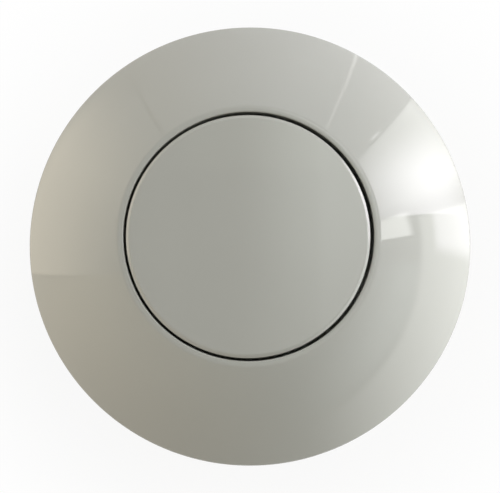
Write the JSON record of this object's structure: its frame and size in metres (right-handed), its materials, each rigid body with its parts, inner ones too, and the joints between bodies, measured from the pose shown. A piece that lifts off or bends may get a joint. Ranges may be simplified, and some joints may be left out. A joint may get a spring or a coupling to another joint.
{
  "type": "push button cistern actuator",
  "caption": "Round push button for a flushing cistern: a domed bezel and sprung cap on a threaded shank with washer and backnut, squeezing an air bellows that feeds a hose tail.",
  "frame": {"origin": "on the axis of the button, in the outer face of the panel that it is fitted in, where the gasket seals", "axes": "+Z out of the panel, the way the button faces; +X and +Y across the panel"},
  "size_m": [0.072, 0.072, 0.0607],
  "materials": {
    "gloss_abs": "polished moulding",
    "natural_acetal": "as moulded",
    "white_polypropylene": "satin moulding",
    "grey_polyethylene": "as moulded",
    "black_epdm": "matt",
    "spring_steel": "drawn wire"
  },
  "bodies": {
    "housing": {"bezel": "gloss_abs", "body": "white_polypropylene", "panel_gasket": "black_epdm", "end_cap": "white_polypropylene", "bellows": "black_epdm", "return_spring": "spring_steel"},
    "button": {"button_cap": "gloss_abs", "plunger": "natural_acetal", "spring_seat": "natural_acetal"},
    "washer": {"clamp_washer": "grey_polyethylene"},
    "nut": {"backnut": "white_polypropylene"}
  },
  "joints": [
    {"name": "button_press", "type": "slide", "parent": "housing", "child": "button", "axis": [0, 0, -1], "range_m": [0, 0.0055], "stiffness_N_per_m": 1200, "springref_m": -0.005, "deforming": ["bellows", "return_spring"]},
    {"name": "washer_slide", "type": "slide", "parent": "housing", "child": "washer", "axis": [0, 0, -1], "range_m": [-0.0105, 0.0105]},
    {"name": "nut_turn", "type": "hinge", "parent": "washer", "child": "nut", "pos_m": [0, 0, -0.0181], "axis": [0, 0, -1], "range_deg": [-1250, 1250]}
  ],
  "couplings": [
    {"joint": "washer_slide", "follows": "nut_turn", "m_per_rad": 0.00047746}
  ]
}
